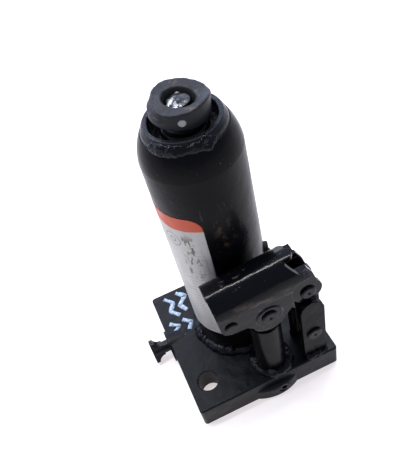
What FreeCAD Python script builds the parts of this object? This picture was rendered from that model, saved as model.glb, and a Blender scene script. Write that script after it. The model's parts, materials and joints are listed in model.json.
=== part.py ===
import FreeCAD, Part
import math
import os

# Hydraulic bottle jack.  Millimetres, +Z up.
# The origin is on the ram axis, at the underside of the base plate.
# +X runs along the front edge of the base, and the pump stands at the front, towards -Y.

V = FreeCAD.Vector
X_AXIS = V(1, 0, 0)
Y_AXIS = V(0, 1, 0)
Z_AXIS = V(0, 0, 1)
GAP = 0.06          # radial clearance of every running fit
SEAT = 0.03         # radial clearance between pieces that sit still in each other

# Base plate
BASE_LEFT = -56.5
BASE_RIGHT = 53.5
BASE_FRONT = -60.5
BASE_BACK = 50.5
BASE_T = 20.0
BASE_CORNER_R = 2.4
BOLT_X = -42.0
BOLT_Y = -39.5
BOLT_R = 7.75

# Reservoir tank, a 2-inch steel tube
TANK_R = 30.15
TANK_WALL = 2.6
SHOULDER_Z = 196.0
NECK_Z = 212.0
NECK_R = 25.0

# Pressure cylinder and ram
CYL_SEAT_Z = 16.0
GASKET_T = 1.5
CYL_R = 19.0
CYL_BORE_R = 15.06
CYL_TOP_Z = 199.8
PISTON_R = 15.0
PISTON_TOP_Z = 58.0
RAM_R = 14.0
RAM_TOP_Z = 213.0
RAM_HOLLOW_R = 11.25
RAM_THREAD_R = 10.96
RAM_THREAD_Z = 206.0

# Top nut
NUT_TOP_Z = 217.5
NUT_R = 24.6
NUT_RECESS_R = 19.4
NUT_RIM_R = 22.1
NUT_SLOPE_Z = 214.3
GLAND_Z = 200.0
GLAND_TOP_Z = 207.0

# Extension screw and saddle
SCREW_R = 10.9
SCREW_BOTTOM_Z = 122.0
SCREW_SHOULDER_Z = 215.4
SPIGOT_R = 6.4
SPIGOT_SIDE_Z = 227.2
SPIGOT_TOP_Z = 228.4
SADDLE_PIN_Z = 224.8
SADDLE_PIN_R = 2.2
SADDLE_R = 16.7
SADDLE_BOTTOM_Z = 219.8
SADDLE_TOP_Z = 230.2
SADDLE_TILT = 8.9
SADDLE_PIN_AZIMUTH = -105.0
SADDLE_WELL_R = 7.5

# Pump
PUMP_X = 7.2
PUMP_Y = -45.6
PUMP_R = 10.9
PUMP_BOTTOM_Z = 8.0
PUMP_TOP_Z = 74.0
PLUNGER_R = 6.0
PUMP_PIN_Z = 98.8
PIN_R = 4.0
PUNCH_R = 1.6          # punched centre of each pin head
PUNCH_DEPTH = 0.9

# Handle socket, drawn level about the pump pin and then tilted to its rest angle
SOCKET_TILT = 4.06
SHEET = 3.0
ROLL_R = 14.3
ROLL_RISE = 17.0
SOCKET_LEFT = -31.0
CROWN_RIGHT = 18.0
ROLL_RIGHT = 29.5
TONGUE_RIGHT = 27.4
TONGUE_HALF = 3.9
TAB_OUTER = 8.2
TAB_PIN_U = 29.7
TAB_PIN_W = -5.9
TAB_R = 10.2
REST_RIVET_U = -24.3
REST_RIVET_W = 7.4
REST_RIVET_R = 2.75

# Fulcrum lugs and links
LUG_LEFT = 29.2
LUG_RIGHT = 46.5
LUG_TOP = 86.0
LUG_OUTER = 11.5
LUG_T = 3.0
LINK_PIN_X = 37.6
LINK_PIN_Z = 48.8
LINK_OUTER = 4.9
LINK_T = 3.5
LINK_R = 9.0
SLOT_EXTRA = 2.2
SLOT_PLAY = 0.7

# Release valve
VALVE_Y = 9.3
VALVE_Z = 10.2
VALVE_BORE_R = 5.2
VALVE_BOSS_R = 12.6
VALVE_BOSS_FAR_R = 9.4
VALVE_BOSS_LENGTH = 30.0
VALVE_SEAT_X = -18.0
VALVE_HEAD_X = -72.0
WING_R = 9.6
WING_LEAN = 26.0

# Label on the tank
LABEL_START = -112.5
LABEL_SWEEP = -150.0
LABEL_BOTTOM = 44.4
LABEL_TOP = 168.5
LABEL_T = 0.2

os.makedirs("parts", exist_ok=True)


def save(name, shape):
    shape.exportStep("parts/" + name + ".step")


def rod(radius, low, high, x=0.0, y=0.0):
    """Cylinder along Z."""
    return Part.makeCylinder(radius, high - low, V(x, y, low), Z_AXIS)


def rod_x(radius, low, high, y, z):
    return Part.makeCylinder(radius, high - low, V(low, y, z), X_AXIS)


def rod_y(radius, low, high, x, z):
    return Part.makeCylinder(radius, high - low, V(x, low, z), Y_AXIS)


def tube(outer, inner, low, high, x=0.0, y=0.0):
    return rod(outer, low, high, x, y).cut(rod(inner, low - 1, high + 1, x, y))


def block(x0, x1, y0, y1, z0, z1):
    return Part.makeBox(x1 - x0, y1 - y0, z1 - z0, V(x0, y0, z0))


def spun(points, x=0.0, y=0.0, start=0.0, sweep=360.0):
    """Ring turned about a vertical axis from a list of (radius, height) points."""
    corners = [V(r, 0, z) for r, z in points]
    face = Part.Face(Part.makePolygon(corners + corners[:1]))
    solid = face.revolve(V(0, 0, 0), Z_AXIS, sweep)
    solid.rotate(V(0, 0, 0), Z_AXIS, start)
    solid.translate(V(x, y, 0))
    return solid


def plate_y(points, y0, y1):
    """Plate cut from a list of (x, z) corners, between two planes across Y."""
    corners = [V(px, y0, pz) for px, pz in points]
    face = Part.Face(Part.makePolygon(corners + corners[:1]))
    return face.extrude(V(0, y1 - y0, 0))


def joined(*solids):
    result = solids[0]
    for solid in solids[1:]:
        result = result.fuse(solid)
    return result.removeSplitter()


def mirrored(solid):
    """The same piece on the other side of the pump's centre plane."""
    return solid.mirror(V(0, PUMP_Y, 0), Y_AXIS)


def level_socket(u, w):
    """World X and Z of a point given along and above the level socket, at the rest tilt."""
    angle = math.radians(SOCKET_TILT)
    x = PUMP_X + u * math.cos(angle) - w * math.sin(angle)
    z = PUMP_PIN_Z + u * math.sin(angle) + w * math.cos(angle)
    return x, z


def tilt_socket(solid):
    solid.rotate(V(PUMP_X, PUMP_Y, PUMP_PIN_Z), Y_AXIS, -SOCKET_TILT)
    return solid


def headed_pin(x, z, front, back, head_r, head_t):
    """Pin along Y with a domed head at the front and a peened end at the back."""
    shank = rod_y(PIN_R, front, back, x, z)
    head = rod_y(head_r, front - head_t, front, x, z)
    rim = [edge for edge in head.Edges if edge.BoundBox.YMax < front - head_t / 2]
    head = head.makeFillet(head_t * 0.7, rim)
    dimple = Part.makeCone(PUNCH_R, 0.2, PUNCH_DEPTH, V(x, front - head_t, z), Y_AXIS)
    peened = Part.makeCone(PIN_R, PIN_R - 1.0, 0.8, V(x, back, z), Y_AXIS)
    return joined(shank, head, peened).cut(dimple)


# Inner passages of the base, shared by the plate and the small pieces that sit in them
GALLERY_Z = 6.5
GALLERY_R = 2.5
CHECK_R = 4.3
CHECK_BALL_R = 3.55
DELIVERY_Y = -7.0
DELIVERY_SEAT_Z = 9.8
DELIVERY_SEAT_R = 2.0
DELIVERY_BALL_R = 2.8
DELIVERY_CHAMBER_R = 3.6
SUCTION_Y = -23.4
SUCTION_SEAT_Z = 15.0
RELIEF_Y = 8.0
RELIEF_Z = 9.0
RELIEF_SEAT_X = 21.0
RELIEF_SEAT_R = 1.8
FRONT_BOSS_DEPTH = 4.0
FRONT_BOSS_WIDTH = 32.0
FRONT_BOSS_SHIFT = -4.3
PLUG_R = 4.5
PLUG_LENGTH = 7.0


def base_passages():
    gallery = rod_y(GALLERY_R, BASE_FRONT - 9, DELIVERY_Y, PUMP_X, GALLERY_Z)
    plug_seat_y = BASE_FRONT - FRONT_BOSS_DEPTH + PLUG_LENGTH + 0.5
    plug_hole = rod_y(PLUG_R, BASE_FRONT - 9, plug_seat_y, PUMP_X, GALLERY_Z)
    pump_well = rod(PUMP_R + SEAT, PUMP_BOTTOM_Z, BASE_T + 1, PUMP_X, PUMP_Y)
    pump_drill = rod(GALLERY_R, GALLERY_Z, PUMP_BOTTOM_Z + 1, PUMP_X, PUMP_Y)
    cylinder_seat = rod(CYL_R + SEAT, CYL_SEAT_Z, BASE_T + 1)
    delivery_drill = rod(DELIVERY_SEAT_R, GALLERY_Z, DELIVERY_SEAT_Z + 1, PUMP_X, DELIVERY_Y)
    delivery_chamber = rod(DELIVERY_CHAMBER_R, DELIVERY_SEAT_Z, BASE_T, PUMP_X, DELIVERY_Y)
    suction_chamber = rod(CHECK_R, -1.0, SUCTION_SEAT_Z, PUMP_X, SUCTION_Y)
    suction_drill = rod(2.2, SUCTION_SEAT_Z - 1, BASE_T + 1, PUMP_X, SUCTION_Y)
    valve_bore = rod_x(VALVE_BORE_R, BASE_LEFT - 9, VALVE_SEAT_X, VALVE_Y, VALVE_Z)
    valve_drill = rod_x(GALLERY_R, VALVE_SEAT_X - 1, -4.0, VALVE_Y, VALVE_Z)
    valve_riser = rod(GALLERY_R, VALVE_Z, CYL_SEAT_Z + 1, -6.0, VALVE_Y)
    valve_return = rod(GALLERY_R, VALVE_Z, BASE_T + 1, -22.6, VALVE_Y)
    relief_bore = rod_x(CHECK_R, RELIEF_SEAT_X, BASE_RIGHT + 9, RELIEF_Y, RELIEF_Z)
    relief_drill = rod_x(RELIEF_SEAT_R, 7.0, RELIEF_SEAT_X + 1, RELIEF_Y, RELIEF_Z)
    relief_riser = rod(RELIEF_SEAT_R, RELIEF_Z, CYL_SEAT_Z + 1, 8.5, RELIEF_Y)
    relief_return = rod(RELIEF_SEAT_R, RELIEF_Z, BASE_T + 1, 23.5, RELIEF_Y)
    return [
        gallery, plug_hole, pump_well, pump_drill, cylinder_seat, delivery_drill, delivery_chamber,
        suction_chamber, suction_drill, valve_bore, valve_drill, valve_riser, valve_return,
        relief_bore, relief_drill, relief_riser, relief_return,
    ]


def make_base_plate():
    plate = block(BASE_LEFT, BASE_RIGHT, BASE_FRONT, BASE_BACK, 0, BASE_T)
    uprights = [edge for edge in plate.Edges if edge.BoundBox.ZLength > BASE_T - 1]
    plate = plate.makeFillet(BASE_CORNER_R, uprights)
    rim = [edge for edge in plate.Edges if edge.BoundBox.ZMin > BASE_T - 0.1]
    plate = plate.makeFillet(1.2, rim)
    # forged swelling over the release valve, proud of the top and of the left side
    boss_start = V(BASE_LEFT - 1.5, VALVE_Y - 1.5, 9.4)
    valve_boss = Part.makeCone(VALVE_BOSS_R, VALVE_BOSS_FAR_R, VALVE_BOSS_LENGTH, boss_start, X_AXIS)
    valve_boss = valve_boss.common(block(BASE_LEFT - 9, 0, BASE_FRONT, BASE_BACK, 0, 40))
    # swelling round the gallery plug, low on the front face
    half = FRONT_BOSS_WIDTH / 2
    boss_r = (half * half + FRONT_BOSS_DEPTH * FRONT_BOSS_DEPTH) / (2 * FRONT_BOSS_DEPTH)
    boss_y = BASE_FRONT - FRONT_BOSS_DEPTH + boss_r
    front_boss = rod(boss_r, 0, 12.5, PUMP_X + FRONT_BOSS_SHIFT, boss_y)
    top_edge = [edge for edge in front_boss.Edges if edge.BoundBox.ZMin > 12.0]
    front_boss = front_boss.makeFillet(3.0, top_edge)
    front_boss = front_boss.common(block(-60, 60, -70, BASE_FRONT + 1, 0, 40))
    plate = joined(plate, valve_boss, front_boss)
    for hole in base_passages():
        plate = plate.cut(hole)
    for x, y in bolt_centres():
        plate = plate.cut(rod(BOLT_R, -1, BASE_T + 1, x, y))
    return plate


def bolt_centres():
    """The second hole is the first one turned half round the centre of the plate."""
    across_x = BASE_LEFT + BASE_RIGHT - BOLT_X
    across_y = BASE_FRONT + BASE_BACK - BOLT_Y
    return [(BOLT_X, BOLT_Y), (across_x, across_y)]


def weld_ring(radius, leg, rise, x=0.0, y=0.0):
    """Fillet weld with a convex face round the foot of a tube standing on the base."""
    points = [(radius, BASE_T), (radius + leg, BASE_T)]
    for step in range(1, 6):
        turn = math.radians(15 * step)
        bulge_r = radius + leg * (0.55 * math.cos(turn) + 0.45 * (1 - step / 6.0))
        bulge_z = BASE_T + rise * (0.55 * math.sin(turn) + 0.45 * step / 6.0)
        points.append((bulge_r, bulge_z))
    points.append((radius, BASE_T + rise))
    return spun(points, x, y)


def shoulder_profile(inset):
    """Arc of the tank's shoulder in the XZ plane, moved inwards by the wall."""
    lean = math.radians(25)
    low = V(TANK_R - inset, 0, SHOULDER_Z)
    mid = V(28.2 - inset * math.cos(lean * 0.7), 0, 205.0 - inset * math.sin(lean * 0.7))
    high = V(NECK_R - inset * math.cos(lean), 0, NECK_Z)
    return low, Part.Arc(low, mid, high).toShape(), high


def make_tank():
    out_low, out_arc, out_high = shoulder_profile(0)
    in_low, in_arc, in_high = shoulder_profile(TANK_WALL)
    foot_out = V(TANK_R, 0, BASE_T)
    foot_in = V(TANK_R - TANK_WALL, 0, BASE_T)
    edges = [
        Part.makeLine(foot_in, foot_out),
        Part.makeLine(foot_out, out_low),
        out_arc,
        Part.makeLine(out_high, in_high),
        in_arc,
        Part.makeLine(in_low, foot_in),
    ]
    wire = Part.Wire(Part.__sortEdges__(edges))
    return Part.Face(wire).revolve(V(0, 0, 0), Z_AXIS, 360)


# Oil filler plug on the right side of the tank
FILLER_AZIMUTH = -17.0
FILLER_Z = 97.0
FILLER_R = 3.4
FILLER_HEAD_R = 4.6
FILLER_HEAD_T = 3.0


def filler_rod(radius, low, high):
    angle = math.radians(FILLER_AZIMUTH)
    out = V(math.cos(angle), math.sin(angle), 0)
    start = V(out.x * low, out.y * low, FILLER_Z)
    return Part.makeCylinder(radius, high - low, start, out)


def make_filler_plug():
    head = filler_rod(FILLER_HEAD_R, TANK_R - 2, TANK_R + FILLER_HEAD_T)
    far = [edge for edge in head.Edges if edge.BoundBox.XMin > TANK_R - 0.5]
    head = head.makeFillet(1.2, far)
    head = head.cut(rod(TANK_R, FILLER_Z - 20, FILLER_Z + 20))
    neck = filler_rod(FILLER_R - SEAT, TANK_R - TANK_WALL - 1.5, TANK_R + 1)
    lip = filler_rod(FILLER_R + 0.9, TANK_R - TANK_WALL - 3.5, TANK_R - TANK_WALL)
    inside = rod(TANK_R - TANK_WALL, FILLER_Z - 20, FILLER_Z + 20)
    return joined(head, neck, lip.common(inside))


def make_top_nut():
    body = spun([
        (CYL_R + SEAT, 190.0), (21.6, 190.0), (21.6, NECK_Z), (NUT_R, NECK_Z), (NUT_R - 0.7, NUT_SLOPE_Z),
        (NUT_RIM_R + 0.4, NUT_TOP_Z - 0.6), (NUT_RIM_R, NUT_TOP_Z), (NUT_RECESS_R + 0.6, NUT_TOP_Z),
        (NUT_RECESS_R, NUT_TOP_Z - 0.6),
        (NUT_RECESS_R, GLAND_TOP_Z), (RAM_R + GAP, GLAND_TOP_Z), (RAM_R + GAP, GLAND_Z),
        (CYL_R + SEAT, GLAND_Z),
    ])
    return body.cut(tube(16.6, RAM_R, 202.0, 205.2))


def make_ram():
    outer = spun([
        (0, 17.0), (PISTON_R - 1.5, 17.0), (PISTON_R, 18.5), (PISTON_R, 24.0), (12.5, 24.0),
        (12.5, 29.5), (PISTON_R, 29.5), (PISTON_R, 34.0), (13.2, 34.0), (13.2, 37.0), (PISTON_R, 37.0),
        (PISTON_R, PISTON_TOP_Z), (RAM_R, PISTON_TOP_Z + 1.0), (RAM_R, RAM_TOP_Z - 1.2),
        (RAM_R - 1.2, RAM_TOP_Z), (0, RAM_TOP_Z),
    ])
    hollow = spun([
        (0, 56.0), (RAM_HOLLOW_R, 62.0), (RAM_HOLLOW_R, RAM_THREAD_Z), (RAM_THREAD_R, RAM_THREAD_Z + 0.4),
        (RAM_THREAD_R, RAM_TOP_Z + 1), (0, RAM_TOP_Z + 1),
    ])
    return outer.cut(hollow)


def make_screw():
    body = spun([
        (0, SCREW_BOTTOM_Z), (SCREW_R - 1.5, SCREW_BOTTOM_Z), (SCREW_R, SCREW_BOTTOM_Z + 1.5),
        (SCREW_R, 124.0), (9.3, 124.0), (9.3, 126.6), (SCREW_R, 126.6), (SCREW_R, SCREW_SHOULDER_Z - 1.2),
        (SCREW_R - 1.2, SCREW_SHOULDER_Z), (SPIGOT_R, SCREW_SHOULDER_Z), (SPIGOT_R, SPIGOT_SIDE_Z),
        (0, SPIGOT_SIDE_Z),
    ])
    dome_rise = SPIGOT_TOP_Z - SPIGOT_SIDE_Z
    dome_r = (SPIGOT_R * SPIGOT_R + dome_rise * dome_rise) / (2 * dome_rise)
    dome = Part.makeSphere(dome_r, V(0, 0, SPIGOT_TOP_Z - dome_r))
    dome = dome.common(rod(SPIGOT_R, SPIGOT_SIDE_Z - 0.5, SPIGOT_TOP_Z + 1))
    hole = saddle_rod(SADDLE_PIN_R + GAP, -9, 9)
    return joined(body, dome).cut(hole)


def saddle_direction():
    azimuth = math.radians(SADDLE_PIN_AZIMUTH)
    return V(math.cos(azimuth), math.sin(azimuth), 0)


def saddle_rod(radius, low, high):
    out = saddle_direction()
    start = V(out.x * low, out.y * low, SADDLE_PIN_Z)
    return Part.makeCylinder(radius, high - low, start, out)


def tilt_saddle(solid):
    """The saddle rocks on its cross pin, and rests with its left side high."""
    solid.rotate(V(0, 0, SADDLE_PIN_Z), saddle_direction(), -SADDLE_TILT)
    return solid


def make_saddle():
    disc = rod(SADDLE_R, SADDLE_BOTTOM_Z, SADDLE_TOP_Z)
    # shallow trough across the top, so that the front and back of the rim stand higher than the sides
    trough_r = 150.0
    trough = rod_x(trough_r, -30, 30, 0, SADDLE_TOP_Z - 0.95 + trough_r)
    disc = disc.cut(trough)
    disc = disc.makeFillet(0.9, disc.Edges)
    well = spun([
        (0, SADDLE_BOTTOM_Z - 1), (SADDLE_WELL_R, SADDLE_BOTTOM_Z - 1), (SADDLE_WELL_R, SADDLE_TOP_Z - 5.2),
        (9.6, SADDLE_TOP_Z - 1.6), (9.9, SADDLE_TOP_Z + 1), (0, SADDLE_TOP_Z + 1),
    ])
    return disc.cut(well).cut(saddle_rod(SADDLE_PIN_R + SEAT, -30, 30))


def make_saddle_pin():
    pin = saddle_rod(SADDLE_PIN_R, -SADDLE_R + 0.3, SADDLE_R - 0.3)
    return pin.makeFillet(0.3, [edge for edge in pin.Edges if len(edge.Vertexes) == 1])


def make_plunger():
    shaft = rod(PLUNGER_R, 30.0, PUMP_PIN_Z - 5.0, PUMP_X, PUMP_Y)
    eye = rod_y(7.5, PUMP_Y - 7.0, PUMP_Y + 7.0, PUMP_X, PUMP_PIN_Z)
    return joined(shaft, eye).cut(rod_y(PIN_R + GAP, PUMP_Y - 9, PUMP_Y + 9, PUMP_X, PUMP_PIN_Z))


def flange_points():
    """Front view of a flange: lower left corner, lobe under the pump pin, then up to the pressed tab."""
    lobe_r = 11.0
    lobe_u = -1.0
    lobe_w = -4.2
    lobe = []
    for step in range(0, 9):
        turn = math.radians(185 + 16.5 * step)
        lobe.append((lobe_u + lobe_r * math.cos(turn), lobe_w + lobe_r * math.sin(turn)))
    left = [(SOCKET_LEFT, ROLL_RISE), (SOCKET_LEFT, 6.2), (-29.5, 2.6), (-25.5, 0.2), (-15.5, -1.2)]
    right = [(17.0, -1.5), (ROLL_RIGHT, ROLL_RISE - 3), (ROLL_RIGHT, ROLL_RISE)]
    return [(PUMP_X + u, PUMP_PIN_Z + w) for u, w in left + lobe + right]


def at_socket(points):
    return [(PUMP_X + u, PUMP_PIN_Z + w) for u, w in points]


def tab_pan():
    """The right end of a flange is pressed inwards: a flat tab with a wall along its left and top."""
    outer_y = PUMP_Y - ROLL_R
    tab_out = PUMP_Y - TAB_OUTER
    tab_in = tab_out + SHEET
    outline = at_socket([
        (14.6, -2.6), (14.6, 11.0), (17.5, 16.6), (22.5, 19.6), (32.0, 19.0), (35.2, 11.6), (38.2, -3.0),
        (37.4, -11.5), (22.0, -12.4),
    ])
    pan = plate_y(outline, outer_y, tab_in)
    bottom = rod_y(TAB_R, tab_out, tab_in, PUMP_X + TAB_PIN_U, PUMP_PIN_Z + TAB_PIN_W)
    pocket = at_socket([
        (17.2, -9.0), (17.4, 9.5), (18.6, 13.2), (21.4, 15.8), (24.6, 16.6), (60.0, 16.6), (60.0, -60.0),
        (10.0, -60.0),
    ])
    pan = pan.cut(plate_y(pocket, outer_y - 1, tab_out))
    end_cut = at_socket([(33.2, 40.0), (31.0, 16.0), (60.0, 16.0), (60.0, 40.0)])
    pan = pan.cut(plate_y(end_cut, outer_y - 1, tab_out))
    return pan.fuse(bottom), plate_y(pocket, outer_y - 1, tab_out)


def make_socket():
    left = PUMP_X + SOCKET_LEFT
    roll_z = PUMP_PIN_Z + ROLL_RISE
    roll = rod_x(ROLL_R, left, PUMP_X + 40, PUMP_Y, roll_z)
    roll = roll.common(block(-99, 99, -99, 0, roll_z, roll_z + 30))
    tongue = roll.common(block(0, PUMP_X + TONGUE_RIGHT - TONGUE_HALF, PUMP_Y - TONGUE_HALF,
                               PUMP_Y + TONGUE_HALF, 0, 200))
    tip = roll.common(rod(TONGUE_HALF, 90, 200, PUMP_X + TONGUE_RIGHT - TONGUE_HALF, PUMP_Y))
    # slanting cut at the right end, from the crown down to the flanges
    crown_z = roll_z + ROLL_R
    cut = plate_y([
        (PUMP_X + CROWN_RIGHT, crown_z), (PUMP_X + ROLL_RIGHT, roll_z), (PUMP_X + 60, roll_z - 1),
        (PUMP_X + 60, crown_z + 9), (PUMP_X + CROWN_RIGHT - 6.6, crown_z + 9),
    ], -99, 0)
    roll = roll.cut(cut).fuse(tongue).fuse(tip)
    roll = roll.cut(rod_x(ROLL_R - SHEET, -99, 99, PUMP_Y, roll_z))
    flange = plate_y(flange_points(), PUMP_Y - ROLL_R, PUMP_Y - ROLL_R + SHEET)
    boss = Part.makeCone(9.6, 8.6, 0.9, V(PUMP_X, PUMP_Y - ROLL_R, PUMP_PIN_Z), V(0, -1, 0))
    pan, pocket = tab_pan()
    front = flange.fuse(boss).cut(pocket).fuse(pan)
    outside = block(-99, 99, -99, 99, roll_z, roll_z + 60).cut(rod_x(ROLL_R, -99, 99, PUMP_Y, roll_z))
    front = front.cut(outside)
    rear = mirrored(front).cut(block(-99, 99, PUMP_Y + ROLL_R, 0, 0, 200))
    socket = joined(roll, front, rear)
    holes = [(0, 0, PIN_R), (TAB_PIN_U, TAB_PIN_W, PIN_R), (REST_RIVET_U, REST_RIVET_W, REST_RIVET_R)]
    for u, w, radius in holes:
        socket = socket.cut(rod_y(radius + SEAT, -99, 0, PUMP_X + u, PUMP_PIN_Z + w))
    return tilt_socket(socket)


def make_rest_rivet():
    x = PUMP_X + REST_RIVET_U
    z = PUMP_PIN_Z + REST_RIVET_W
    front = PUMP_Y - ROLL_R
    back = PUMP_Y + ROLL_R
    shank = rod_y(REST_RIVET_R, front, back, x, z)
    heads = [rod_y(4.4, front - 1.5, front, x, z), rod_y(4.4, back, back + 1.5, x, z)]
    heads[0] = heads[0].makeFillet(1.1, [e for e in heads[0].Edges if e.BoundBox.YMax < front - 1.0])
    heads[1] = heads[1].makeFillet(1.1, [e for e in heads[1].Edges if e.BoundBox.YMin > back + 1.0])
    return tilt_socket(joined(shank, *heads))


def make_pump_pin():
    front = PUMP_Y - ROLL_R - 0.9
    pin = headed_pin(PUMP_X, PUMP_PIN_Z, front, PUMP_Y + ROLL_R + 0.1, 5.4, 1.5)
    return tilt_socket(pin)


def make_upper_pin():
    front = PUMP_Y - TAB_OUTER
    pin = headed_pin(PUMP_X + TAB_PIN_U, PUMP_PIN_Z + TAB_PIN_W, front, PUMP_Y + TAB_OUTER, 5.4, 1.8)
    return tilt_socket(pin)


def make_lug():
    y0 = PUMP_Y - LUG_OUTER
    points = [
        (LUG_LEFT, BASE_T), (LUG_LEFT, LUG_TOP - 9.0), (LUG_LEFT + 1.2, LUG_TOP - 4.6),
        (LUG_LEFT + 4.2, LUG_TOP - 1.4), (LUG_LEFT + 8.4, LUG_TOP), (LUG_RIGHT - 4.5, LUG_TOP - 2.2),
        (LUG_RIGHT - 1.4, LUG_TOP - 5.0), (LUG_RIGHT, LUG_TOP - 9.5), (LUG_RIGHT, BASE_T),
    ]
    lug = plate_y(points, y0, y0 + LUG_T)
    return lug.cut(rod_y(PIN_R + SEAT, y0 - 1, y0 + LUG_T + 1, LINK_PIN_X, LINK_PIN_Z))


def make_lug_welds():
    y0 = PUMP_Y - LUG_OUTER
    bead = Part.makePolygon([V(0, y0, BASE_T), V(0, y0 - 2.6, BASE_T), V(0, y0 - 1.6, BASE_T + 1.9),
                             V(0, y0, BASE_T + 2.8), V(0, y0, BASE_T)])
    front = Part.Face(bead).extrude(V(LUG_RIGHT - LUG_LEFT - 2, 0, 0))
    front.translate(V(LUG_LEFT + 1, 0, 0))
    return Part.makeCompound([front, mirrored(front)])


def make_link():
    top_x, top_z = level_socket(TAB_PIN_U, TAB_PIN_W)
    y0 = PUMP_Y - LINK_OUTER
    y1 = y0 + LINK_T
    bar = plate_y([(LINK_PIN_X - LINK_R, LINK_PIN_Z), (LINK_PIN_X + LINK_R, LINK_PIN_Z),
                   (top_x + LINK_R, top_z), (top_x - LINK_R, top_z)], y0, y1)
    ends = [rod_y(LINK_R, y0, y1, LINK_PIN_X, LINK_PIN_Z), rod_y(LINK_R, y0, y1, top_x, top_z)]
    link = joined(bar, *ends)
    slot_r = PIN_R + SLOT_PLAY
    slot = joined(
        rod_y(slot_r, y0 - 1, y1 + 1, top_x - SLOT_EXTRA, top_z),
        rod_y(slot_r, y0 - 1, y1 + 1, top_x + SLOT_EXTRA, top_z),
        block(top_x - SLOT_EXTRA, top_x + SLOT_EXTRA, y0 - 1, y1 + 1, top_z - slot_r, top_z + slot_r),
    )
    rivet_x = (LINK_PIN_X + top_x) / 2
    rivet_z = (LINK_PIN_Z + top_z) / 2
    pivot = rod_y(PIN_R + GAP, y0 - 1, y1 + 1, LINK_PIN_X, LINK_PIN_Z)
    return link.cut(slot).cut(pivot).cut(rod_y(2.5 + SEAT, y0 - 1, y1 + 1, rivet_x, rivet_z))


def make_link_rivet():
    top_x, top_z = level_socket(TAB_PIN_U, TAB_PIN_W)
    x = (LINK_PIN_X + top_x) / 2
    z = (LINK_PIN_Z + top_z) / 2
    inner = LINK_OUTER - LINK_T
    return joined(rod_y(2.5, PUMP_Y - LINK_OUTER, PUMP_Y + LINK_OUTER, x, z),
                  rod_y(4.5, PUMP_Y - inner, PUMP_Y + inner, x, z))


def pivot_ring(low, high, outer):
    ring = rod_y(outer, low, high, LINK_PIN_X, LINK_PIN_Z)
    return ring.cut(rod_y(PIN_R + GAP, low - 1, high + 1, LINK_PIN_X, LINK_PIN_Z))


def make_link_bushes():
    """Bushes on the lower pin: one between the links, and one between each link and its lug."""
    inner = LINK_OUTER - LINK_T
    side = pivot_ring(PUMP_Y - LUG_OUTER + LUG_T + 0.2, PUMP_Y - LINK_OUTER, 7.0)
    return Part.makeCompound([side, pivot_ring(PUMP_Y - inner, PUMP_Y + inner, 7.0), mirrored(side)])


def make_lower_pin():
    front = PUMP_Y - LUG_OUTER
    return headed_pin(LINK_PIN_X, LINK_PIN_Z, front, PUMP_Y + LUG_OUTER, 5.4, 1.8)


def make_valve_stem():
    stem = rod_x(4.75, VALVE_HEAD_X + 1.5, -54.0, VALVE_Y, VALVE_Z)
    thread = rod_x(VALVE_BORE_R - GAP, -54.0, -34.0, VALVE_Y, VALVE_Z)
    nose = rod_x(4.0, -34.0, -25.6, VALVE_Y, VALVE_Z)
    groove = rod_x(9, -50.0, -47.4, VALVE_Y, VALVE_Z).cut(rod_x(3.7, -51, -46, VALVE_Y, VALVE_Z))
    # fishtail head: a flat outer face, thin tips, and hollow curves down to the stem
    tip_t = 2.5
    points = [V(VALVE_HEAD_X, 0, -WING_R), V(VALVE_HEAD_X, 0, WING_R), V(VALVE_HEAD_X + tip_t, 0, WING_R)]
    low = V(VALVE_HEAD_X + tip_t, 0, -WING_R)
    right = Part.Arc(points[2], V(VALVE_HEAD_X + 4.2, 0, 5.9), V(VALVE_HEAD_X + 9.0, 0, 4.2)).toShape()
    left = Part.Arc(V(VALVE_HEAD_X + 9.0, 0, -4.2), V(VALVE_HEAD_X + 4.2, 0, -5.9), low).toShape()
    edges = [
        Part.makeLine(points[0], points[1]), Part.makeLine(points[1], points[2]), right,
        Part.makeLine(V(VALVE_HEAD_X + 9.0, 0, 4.2), V(VALVE_HEAD_X + 9.0, 0, -4.2)), left,
        Part.makeLine(low, points[0]),
    ]
    wing = Part.Face(Part.Wire(Part.__sortEdges__(edges))).extrude(V(0, 8.6, 0))
    wing.translate(V(0, -4.3, 0))
    wing = wing.common(Part.makeCylinder(WING_R, 20, V(VALVE_HEAD_X - 1, 0, 0), X_AXIS))
    wing.rotate(V(0, 0, 0), X_AXIS, -WING_LEAN)
    wing.translate(V(0, VALVE_Y, VALVE_Z))
    return joined(stem, thread, nose, wing).cut(groove)


def ring_x(outer, inner, low, high):
    return rod_x(outer, low, high, VALVE_Y, VALVE_Z).cut(rod_x(inner, low - 1, high + 1, VALVE_Y, VALVE_Z))


def coil_spring(radius, wire_r, low, high, turns):
    """Helical spring standing along Z at the origin."""
    helix = Part.makeHelix((high - low) / turns, high - low, radius)
    helix.translate(V(0, 0, low))
    circle = Part.Wire(Part.makeCircle(wire_r, V(radius, 0, low), V(0, radius, (high - low) / turns / 6.28)))
    return Part.Wire(helix.Edges).makePipeShell([circle], True, True)


def make_neck_weld(solid_tank, nut):
    """Tack weld over the joint of the top nut and the tank, on the front left of the shoulder."""
    bead = []
    for step in range(12):
        turn = math.radians(30 * step)
        bead.append((NUT_R + 0.4 + 2.5 * math.cos(turn), NECK_Z + 0.2 + 2.9 * math.sin(turn)))
    weld = spun(bead, start=-152.0, sweep=82.0).cut(solid_tank).cut(nut)
    return max(weld.Solids, key=lambda solid: solid.Volume)


def make_label():
    ring = tube(TANK_R + LABEL_T, TANK_R, LABEL_BOTTOM, LABEL_TOP)
    wedge = Part.makeCylinder(60, 300, V(0, 0, 0), Z_AXIS, -LABEL_SWEEP)
    wedge.rotate(V(0, 0, 0), Z_AXIS, LABEL_START + LABEL_SWEEP)
    return ring.common(wedge)


nut = make_top_nut()
tank = make_tank()
filler = make_filler_plug()
tank_weld = weld_ring(TANK_R, 4.6, 5.6)
solid_tank = tank.fuse(rod(TANK_R - 1, BASE_T, 190)).fuse(rod(21.6, 180, NECK_Z))

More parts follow.
